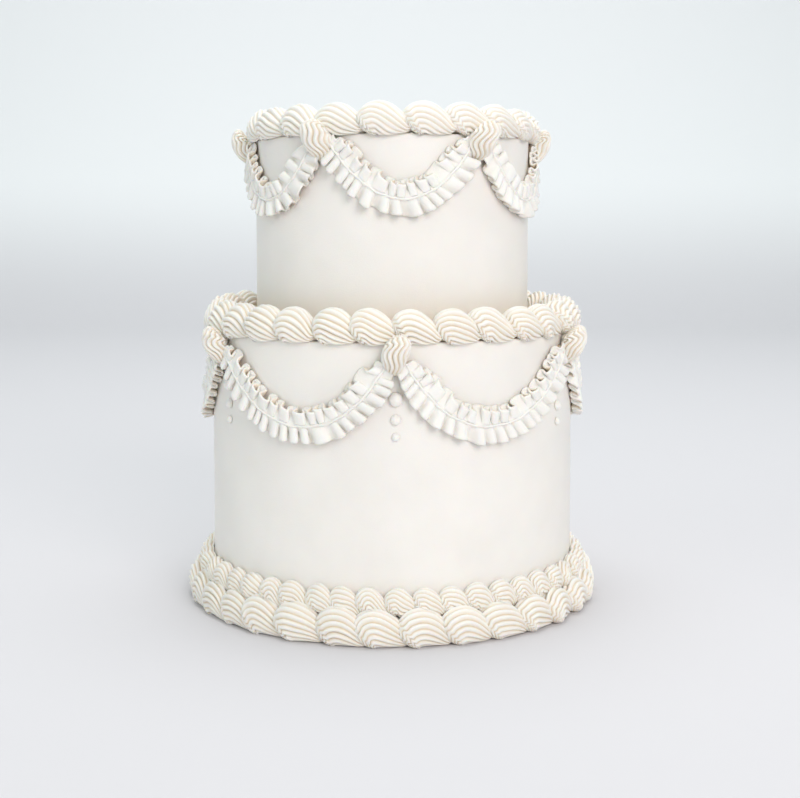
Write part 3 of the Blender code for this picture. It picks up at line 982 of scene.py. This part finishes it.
# The lights: name, place, target, size, power in watts and colour.
LIGHTS = (
    ("window", (0.72, -1.70, 0.95), (0.0, 0.0, 0.14), 1.20, 17.3, (1.0, 0.945, 0.950)),
    ("fill", (-1.50, -1.00, 0.80), (0.0, 0.0, 0.14), 1.60, 4.0, (0.90, 0.98, 0.98)),
    ("top", (0.10, 0.10, 1.60), (0.0, 0.0, 0.14), 1.40, 5.2, (1.0, 0.995, 0.985)),
    ("wall_wash", (0.0, 0.70, 2.60), (0.0, 2.30, 0.30), 2.20, 27.0, (0.97, 0.985, 1.0)),
)
SKY_COLOUR = (0.87, 0.965, 0.98, 1.0)
SKY_STRENGTH = 0.62


def sweep_mesh():
    """A floor that curves up into a backdrop: a profile of floor, quarter circle and wall, carried along X.

    half is half its width, front and back are where the flat floor ends, bend is the circle's radius, and top
    is the wall's height.
    """
    half, front, back, bend, top = 16.0, -16.0, 1.9, 0.9, 5.0
    turn = np.radians(np.linspace(0.0, 90.0, 24))
    y = np.concatenate([[front], back + bend * np.sin(turn), [back + bend]])
    z = np.concatenate([[0.0], bend * (1.0 - np.cos(turn)), [top]])
    left = np.stack([np.full(y.size, -half), y, z], axis=-1)
    right = left * (-1.0, 1.0, 1.0)
    index = np.arange(y.size)
    faces = np.stack([index[:-1], index[:-1] + y.size, index[1:] + y.size, index[1:]], axis=-1)
    mesh = bpy.data.meshes.new("floor_sweep")
    mesh.from_pydata(np.concatenate([left, right]).tolist(), [], faces.tolist())
    mesh.shade_smooth()
    return mesh


class CAKE_OT_stage(bpy.types.Operator):
    """Set the pale floor, the soft lights and the camera"""

    bl_idname = "cake.stage"
    bl_label = "Stage"

    def execute(self, context):
        scene = context.scene
        sweep = bpy.data.objects.new("floor_sweep", sweep_mesh())
        colours = scene.cake_colours
        sweep.data.materials.append(backdrop_paint(colours.floor, colours.backdrop))
        scene.collection.objects.link(sweep)
        for name, place, target, size, power, colour in LIGHTS:
            light = bpy.data.lights.new(name, "AREA")
            light.shape = "DISK"
            light.size = size
            light.energy = power
            light.color = colour
            lamp = bpy.data.objects.new(name, light)
            lamp.location = place
            lamp.rotation_euler = (Vector(target) - lamp.location).to_track_quat("-Z", "Y").to_euler()
            scene.collection.objects.link(lamp)
        world = bpy.data.worlds.new("soft_room")
        world.use_nodes = True
        sky = world.node_tree.nodes["Background"]
        sky.inputs["Color"].default_value = SKY_COLOUR
        sky.inputs["Strength"].default_value = SKY_STRENGTH
        scene.world = world
        camera = bpy.data.cameras.new("front_camera")
        camera.sensor_width = SENSOR
        camera.lens = CAMERA_FOCAL * SENSOR
        camera.shift_x, camera.shift_y = CAMERA_SHIFT
        viewer = bpy.data.objects.new("front_camera", camera)
        viewer.location = (0.0, -CAMERA_DISTANCE, CAMERA_HEIGHT)
        viewer.rotation_euler = (math.radians(90.0 - CAMERA_PITCH), 0.0, 0.0)
        scene.collection.objects.link(viewer)
        scene.camera = viewer
        scene.view_settings.view_transform = "Standard"
        scene.view_settings.look = "None"
        return {"FINISHED"}


OPERATORS = (
    CAKE_OT_smooth_tiers,
    CAKE_OT_shell_borders,
    CAKE_OT_swags,
    CAKE_OT_drop_shells,
    CAKE_OT_dots,
    CAKE_OT_stage,
)


class CAKE_PT_panel(bpy.types.Panel):
    """Lists the sizes, the colours and the steps of the cake"""

    bl_idname = "CAKE_PT_panel"
    bl_label = "Piped Tier Cake"
    bl_space_type = "VIEW_3D"
    bl_region_type = "UI"
    bl_category = "Cake"

    def draw(self, context):
        layout = self.layout
        for group in (context.scene.cake_sizes, context.scene.cake_colours):
            for name in group.bl_rna.properties.keys():
                if name not in ("rna_type", "name"):
                    layout.prop(group, name)
        for operator in OPERATORS:
            layout.operator(operator.bl_idname)


CLASSES = (CakeSizes, CakeColours, *OPERATORS, CAKE_PT_panel)


def register():
    """Registers the classes and puts the sizes and colours on the scene."""
    for cls in CLASSES:
        bpy.utils.register_class(cls)
    bpy.types.Scene.cake_sizes = bpy.props.PointerProperty(type=CakeSizes)
    bpy.types.Scene.cake_colours = bpy.props.PointerProperty(type=CakeColours)


def unregister():
    """Takes back what register does, in the opposite order."""
    del bpy.types.Scene.cake_colours
    del bpy.types.Scene.cake_sizes
    for cls in reversed(CLASSES):
        bpy.utils.unregister_class(cls)


def main():
    register()
    bpy.ops.cake.smooth_tiers()
    bpy.ops.cake.shell_borders()
    bpy.ops.cake.swags()
    bpy.ops.cake.drop_shells()
    bpy.ops.cake.dots()
    bpy.ops.cake.stage()


if __name__ == "__main__":
    main()
